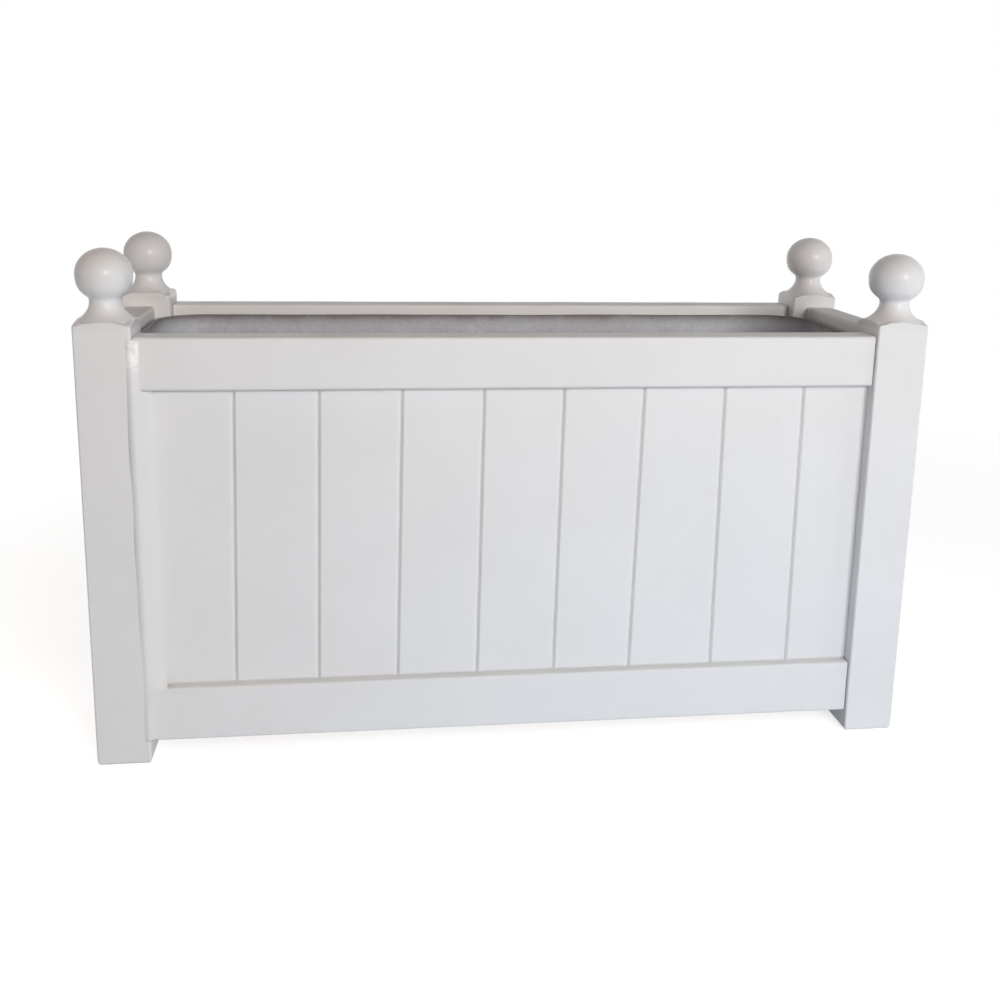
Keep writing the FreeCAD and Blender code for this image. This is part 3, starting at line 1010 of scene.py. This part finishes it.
def trough_profile(bottom, top):
    """Return the liner's section from its underside over the rim to its floor, as inset and level."""
    quarters = [math.radians(15 * step) for step in range(7)]
    count = round((top - bottom) / wall_pitch)
    section = []
    for inward, base, radius in (
        (0.0, bottom, liner_bottom_radius),
        (liner_wall, bottom + liner_floor, liner_bottom_radius - liner_wall),
    ):
        side = [(radius * (1 - math.sin(a)), base + radius * (1 - math.cos(a))) for a in quarters]
        start, end = base + radius, top - liner_rim_radius
        side += [(0.0, start + (end - start) * i / count) for i in range(1, count + 1)]
        leant = [(inward + extra + liner_lean * (top - z) / (top - base), z) for extra, z in side]
        section.append(leant)
    outside, inside = section
    round_over = [
        (liner_rim_radius * (1 - math.cos(a)), top - liner_rim_radius * (1 - math.sin(a)))
        for a in quarters[1:]
    ]
    round_in = [(liner_wall - inset, z) for inset, z in reversed(round_over)]
    return outside + round_over + round_in + list(reversed(inside))


def moulded_trough(name, low, high, drains):
    """Return the liner, a little wavy as laid up by hand, with its drain holes."""
    trough = bmesh.new()
    rings = []
    for inset, z in trough_profile(low.z, high.z):
        ring = []
        for x, y in trough_ring(high.x - inset, high.y - inset, liner_corner - inset):
            rise = (z - low.z) / (high.z - low.z)
            spot = Vector((x, y, z))
            outward = Vector((x / high.x ** 2, y / high.y ** 2, 0)).normalized()
            spot -= outward * liner_wave * rise * (1 + noise.noise(Vector((x, y, z)) * wall_wave_scale))
            spot.z -= liner_wave * rise * (1 + noise.noise(Vector((x, y, 0)) * rim_wave_scale))
            ring.append(trough.verts.new(spot))
        rings.append(ring)
    for face in bridge_rings(trough, rings):
        face.smooth = True
    holes = []
    for ring in (rings[0], rings[-1]):
        z = ring[0].co.z
        edges = [trough.edges.get((ring[i - 1], ring[i])) for i in range(len(ring))]
        level_holes = []
        for x in drains:
            hole = [
                trough.verts.new((x + drain_radius * math.cos(a), drain_radius * math.sin(a), z))
                for a in (math.radians(360 * step / drain_sides) for step in range(drain_sides))
            ]
            edges += [trough.edges.new((hole[i - 1], hole[i])) for i in range(len(hole))]
            level_holes.append(hole)
        bmesh.ops.triangle_fill(trough, use_beauty=True, edges=edges)
        holes.append(level_holes)
    for under, above in zip(*holes):
        for i in range(len(under)):
            trough.faces.new((under[i - 1], under[i], above[i], above[i - 1])).smooth = True
    bmesh.ops.recalc_face_normals(trough, faces=trough.faces[:])
    return made_piece(name, trough)


liner_pale = (0.610, 0.640, 0.695, 1)
liner_dark = (0.440, 0.457, 0.492, 1)
liner_stain = (0.450, 0.430, 0.412, 1)
# A near-black tone that darkens the liner just below its rim, under the rails: painted shade.
liner_rim_shade = (0.100, 0.078, 0.070, 1)
rim_fade = 0.021
rim_full = 0.002
rim_wander = 0.012
rim_falloff = 1.8
rim_share = 0.88
stain_share = 0.4
strand_scale = 170.0
cloud_scale = 24.0
stain_scale = 6.0
fibre_relief = 0.0008
glass_fibre, fibre_tree, fibre_shader, fibre_place = new_finish("grey_glass_fibre")
strands = cloudy(fibre_tree, fibre_place, strand_scale, 5.0, 0.7)
clouds = cloudy(fibre_tree, fibre_place, cloud_scale, 4.0, 0.6)
stains = spread(fibre_tree, cloudy(fibre_tree, fibre_place, stain_scale, 4.0), 0.48, 0.7)
stains = calc(fibre_tree, "MULTIPLY", stains, stain_share)
fibres = calc(fibre_tree, "MULTIPLY_ADD", clouds, 0.5, calc(fibre_tree, "MULTIPLY", strands, 0.7))
pale_fibres = spread(fibre_tree, fibres, 0.42, 0.78)
fibre_colour = blend_colours(fibre_tree, pale_fibres, liner_dark, liner_pale)
fibre_colour = blend_colours(fibre_tree, stains, fibre_colour, liner_stain)
# Painted shade: the walls darken towards the rim, with a wandering edge.
level = add_node(fibre_tree, "ShaderNodeSeparateXYZ", {0: fibre_place}).outputs["Z"]
level = calc(fibre_tree, "MULTIPLY_ADD", clouds, rim_wander, level)
rim_level = liner_high.z + rim_wander / 2
rim_shade = spread(fibre_tree, level, rim_level - rim_fade, rim_level - rim_full)
rim_shade = calc(fibre_tree, "MULTIPLY", calc(fibre_tree, "POWER", rim_shade, rim_falloff), rim_share)
fibre_colour = blend_colours(fibre_tree, rim_shade, fibre_colour, liner_rim_shade)
fibre_gloss = calc(fibre_tree, "MULTIPLY_ADD", strands, 0.3, 0.38)
dress_shader(fibre_tree, fibre_shader, fibre_colour, fibre_gloss, fibres, 0.5, fibre_relief)

trough = moulded_trough("moulded_trough", liner_low, liner_high, slat_gaps)
trough.data.materials.append(glass_fibre)
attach(trough, "liner")
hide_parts("liner")


# Floor of the studio, lights and camera
# The planter stands on a plain pale floor. Soft lamps light it, most of all from the front right,
# as from a bright doorway. The camera looks down at it from the front, left of its middle.

floor_reach = 8.0
floor_colour = (0.72, 0.76, 0.82, 1)
floor_shown = (0.80, 0.80, 0.80, 1)
floor_lift = 0.70
fade_start = 0.7
fade_end = 2.2
floor_mesh = bpy.data.meshes.new("studio_floor")
floor_mesh.from_pydata(
    [(-floor_reach, -floor_reach, 0), (floor_reach, -floor_reach, 0),
     (floor_reach, floor_reach, 0), (-floor_reach, floor_reach, 0)],
    [], [(0, 1, 2, 3)],
)
studio_floor = bpy.data.objects.new("studio_floor", floor_mesh)
bpy.context.scene.collection.objects.link(studio_floor)


def seen_directly(tree):
    """Return 1 for rays from the camera and for what mirrors and glass show, and else 0."""
    rays = add_node(tree, "ShaderNodeLightPath").outputs
    seen = calc(tree, "MAXIMUM", rays["Is Camera Ray"], rays["Is Glossy Ray"])
    return calc(tree, "MAXIMUM", seen, rays["Is Transmission Ray"])


floor_material, floor_tree, floor_shader, floor_place = new_finish("pale_floor")
floor_tree.nodes.remove(floor_shader)
floor_far = add_node(
    floor_tree, "ShaderNodeVectorMath", {0: floor_place}, operation="LENGTH"
).outputs["Value"]
fade = add_node(floor_tree, "ShaderNodeMapRange", {
    "Value": floor_far, "From Min": fade_start, "From Max": fade_end,
}, interpolation_type="SMOOTHSTEP").outputs["Result"]
matt = output_of(floor_tree, "ShaderNodeBsdfDiffuse", {"Color": floor_colour})
pale = output_of(floor_tree, "ShaderNodeBsdfDiffuse", {"Color": floor_shown})
lift = output_of(floor_tree, "ShaderNodeEmission", {"Strength": floor_lift})
lifted = output_of(floor_tree, "ShaderNodeAddShader", {0: pale, 1: lift})
white = output_of(floor_tree, "ShaderNodeEmission", {"Strength": 1.0})
shown = output_of(floor_tree, "ShaderNodeMixShader", {0: fade, 1: lifted, 2: white})
seen = seen_directly(floor_tree)
either = output_of(floor_tree, "ShaderNodeMixShader", {0: seen, 1: matt, 2: shown})
floor_tree.links.new(either, floor_tree.nodes["Material Output"].inputs["Surface"])
studio_floor.data.materials.append(floor_material)

ambient_colour = (0.035, 0.033, 0.032, 1)
world = bpy.data.worlds.new("studio")
bpy.context.scene.world = world
world.use_nodes = True
world_tree = world.node_tree
sky = blend_colours(world_tree, seen_directly(world_tree), ambient_colour, (1, 1, 1, 1))
world_tree.links.new(sky, world_tree.nodes["Background"].inputs["Color"])


def soft_lamp(name, place, aim, size, power, colour, mirrored=False):
    """Add an area lamp at a place, aimed at a point; glossy surfaces mirror it or not."""
    lamp = bpy.data.lights.new(name, "AREA")
    lamp.shape = "RECTANGLE"
    lamp.size, lamp.size_y = size
    lamp.energy = power
    lamp.color = colour
    holder = bpy.data.objects.new(name, lamp)
    holder.location = place
    holder.rotation_euler = (Vector(aim) - Vector(place)).to_track_quat("-Z", "Y").to_euler()
    holder.visible_camera = False
    holder.visible_glossy = mirrored
    bpy.context.scene.collection.objects.link(holder)


box_middle = (0.0, 0.0, 0.30)
soft_lamp("door_lamp", (2.0, -7.0, 2.4), box_middle, (2.5, 2.5), 222.0, (1.0, 0.925, 0.890), True)
soft_lamp("key_lamp", (0.60, -1.75, 1.05), box_middle, (1.0, 0.8), 9.3, (1.0, 0.975, 0.965))
soft_lamp("right_lamp", (2.6, -1.2, 0.9), box_middle, (1.4, 1.4), 12.0, (0.94, 1.0, 1.0))
soft_lamp("warm_lamp", (-0.6, -1.0, 1.5), box_middle, (0.6, 0.6), 0.9, (1.0, 0.50, 0.20))
soft_lamp("low_lamp", (0.25, -0.80, 0.04), (0.2, 0.0, 0.12), (1.2, 0.10), 0.82, (0.16, 0.62, 1.0))
soft_lamp("left_lamp", (-2.8, 0.3, 0.9), box_middle, (1.4, 1.4), 7.0, (1.0, 0.97, 0.94))
soft_lamp("back_lamp", (-1.2, 3.0, 1.0), box_middle, (1.8, 1.8), 42.0, (1.0, 0.99, 0.98))

camera_place = Vector((-0.1867, -1.4629, 0.7230))
camera_down = math.radians(12.019)
camera_roll = math.radians(0.496)
camera_right = math.radians(7.355)
camera_data = bpy.data.cameras.new("photo_camera")
camera_data.sensor_width = 36.0
camera_data.lens = 41.02
camera_data.shift_x = -0.0033
camera_data.shift_y = -0.1007
camera = bpy.data.objects.new("photo_camera", camera_data)
level_camera = Matrix.Rotation(math.radians(90), 4, "X")
aim = Matrix.Rotation(camera_roll, 4, "Y") @ Matrix.Rotation(-camera_down, 4, "X")
aim = aim @ Matrix.Rotation(-camera_right, 4, "Z") @ level_camera
camera.matrix_world = Matrix.Translation(camera_place) @ aim
bpy.context.scene.collection.objects.link(camera)
bpy.context.scene.camera = camera
